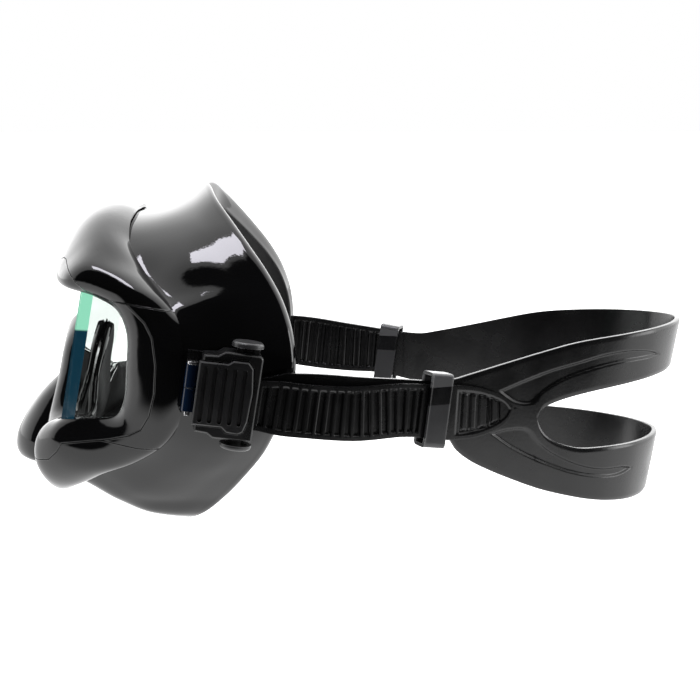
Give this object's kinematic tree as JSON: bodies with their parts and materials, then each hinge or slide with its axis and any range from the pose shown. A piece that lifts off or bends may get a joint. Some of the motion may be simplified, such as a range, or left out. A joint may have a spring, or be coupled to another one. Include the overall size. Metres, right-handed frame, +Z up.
{
  "type": "diving mask",
  "caption": "Diving mask with wrap-round lenses, glossy black frame, silicone skirt with nose pocket, swivel buckles and a split silicone strap.",
  "frame": {"origin": "centre of the face opening, at eye level on the mid plane", "axes": "+X is the wearer's left, +Y points to the back of the head, +Z is up"},
  "size_m": [0.1742, 0.2435, 0.1155],
  "materials": {
    "frame_plastic": "glossy",
    "cover_plastic": "glossy",
    "lens_glass": "clear",
    "silicone": "satin",
    "buckle_plastic": "satin",
    "lever_plastic": "satin",
    "blue_plastic": "glossy",
    "pin_steel": "satin",
    "roller_plastic": "satin",
    "button_plastic": "satin",
    "keeper_plastic": "glossy"
  },
  "bodies": {
    "frame": {"bezel": "frame_plastic", "brow_cover": "cover_plastic", "side_cover_left": "cover_plastic", "side_cover_right": "cover_plastic", "lower_cover_left": "cover_plastic", "lower_cover_right": "cover_plastic", "front_lens": "lens_glass", "side_lens_left": "lens_glass", "side_lens_right": "lens_glass", "skirt": "silicone", "strap_band": "silicone", "strap_tail_left": "silicone", "hinge_bracket_left": "buckle_plastic", "hinge_barrel_left": "blue_plastic", "hinge_pin_left": "pin_steel", "strap_tail_right": "silicone", "hinge_bracket_right": "buckle_plastic", "hinge_barrel_right": "blue_plastic", "hinge_pin_right": "pin_steel"},
    "buckle_left": {"buckle_housing_left": "buckle_plastic", "hinge_knuckle_left": "blue_plastic", "lever_pin_left": "pin_steel", "lever_spring_left": "pin_steel", "strap_wrap_left": "silicone"},
    "lever_left": {"lever_left": "lever_plastic"},
    "roller_left": {"strap_roller_left": "roller_plastic"},
    "button_top_left": {"button_top_left": "button_plastic"},
    "button_bottom_left": {"button_bottom_left": "button_plastic"},
    "keeper_left": {"keeper_left": "keeper_plastic"},
    "buckle_right": {"buckle_housing_right": "buckle_plastic", "hinge_knuckle_right": "blue_plastic", "lever_pin_right": "pin_steel", "lever_spring_right": "pin_steel", "strap_wrap_right": "silicone"},
    "lever_right": {"lever_right": "lever_plastic"},
    "roller_right": {"strap_roller_right": "roller_plastic"},
    "button_top_right": {"button_top_right": "button_plastic"},
    "button_bottom_right": {"button_bottom_right": "button_plastic"},
    "keeper_right": {"keeper_right": "keeper_plastic"}
  },
  "joints": [
    {"name": "buckle_swivel_left", "type": "hinge", "parent": "frame", "child": "buckle_left", "pos_m": [0.0778, -0.0122, 0], "axis": [0, -0.1399, -0.9902], "range_deg": [-2, 30]},
    {"name": "lever_lift_left", "type": "hinge", "parent": "buckle_left", "child": "lever_left", "pos_m": [0.08267, -0.00692, -0.00075], "axis": [0, -0.1399, -0.9902], "range_deg": [0, 22], "stiffness_Nm_per_rad": 0.01, "springref_deg": -11.46},
    {"name": "roller_spin_left", "type": "hinge", "parent": "buckle_left", "child": "roller_left", "pos_m": [0.07995, -0.00302, -0.0013], "axis": [0, -0.1399, -0.9902], "continuous": true},
    {"name": "button_top_press_left", "type": "slide", "parent": "buckle_left", "child": "button_top_left", "axis": [0, -0.1399, -0.9902], "range_m": [0, 0.0012], "stiffness_N_per_m": 300, "springref_m": -0.001},
    {"name": "button_bottom_press_left", "type": "slide", "parent": "buckle_left", "child": "button_bottom_left", "axis": [0, 0.1399, 0.9902], "range_m": [0, 0.0012], "stiffness_N_per_m": 300, "springref_m": -0.001},
    {"name": "keeper_slide_left", "type": "slide", "parent": "frame", "child": "keeper_left", "axis": [0.3518, -0.9361, 0], "range_m": [-0.001, 0.007]},
    {"name": "buckle_swivel_right", "type": "hinge", "parent": "frame", "child": "buckle_right", "pos_m": [-0.0778, -0.0122, 0], "axis": [0, 0.1399, 0.9902], "range_deg": [-2, 30]},
    {"name": "lever_lift_right", "type": "hinge", "parent": "buckle_right", "child": "lever_right", "pos_m": [-0.08267, -0.00692, -0.00075], "axis": [0, 0.1399, 0.9902], "range_deg": [0, 22], "stiffness_Nm_per_rad": 0.01, "springref_deg": -11.46},
    {"name": "roller_spin_right", "type": "hinge", "parent": "buckle_right", "child": "roller_right", "pos_m": [-0.07995, -0.00302, -0.0013], "axis": [0, 0.1399, 0.9902], "continuous": true},
    {"name": "button_top_press_right", "type": "slide", "parent": "buckle_right", "child": "button_top_right", "axis": [0, -0.1399, -0.9902], "range_m": [0, 0.0012], "stiffness_N_per_m": 300, "springref_m": -0.001},
    {"name": "button_bottom_press_right", "type": "slide", "parent": "buckle_right", "child": "button_bottom_right", "axis": [0, 0.1399, 0.9902], "range_m": [0, 0.0012], "stiffness_N_per_m": 300, "springref_m": -0.001},
    {"name": "keeper_slide_right", "type": "slide", "parent": "frame", "child": "keeper_right", "axis": [-0.3518, -0.9361, 0], "range_m": [-0.008, 0]}
  ]
}
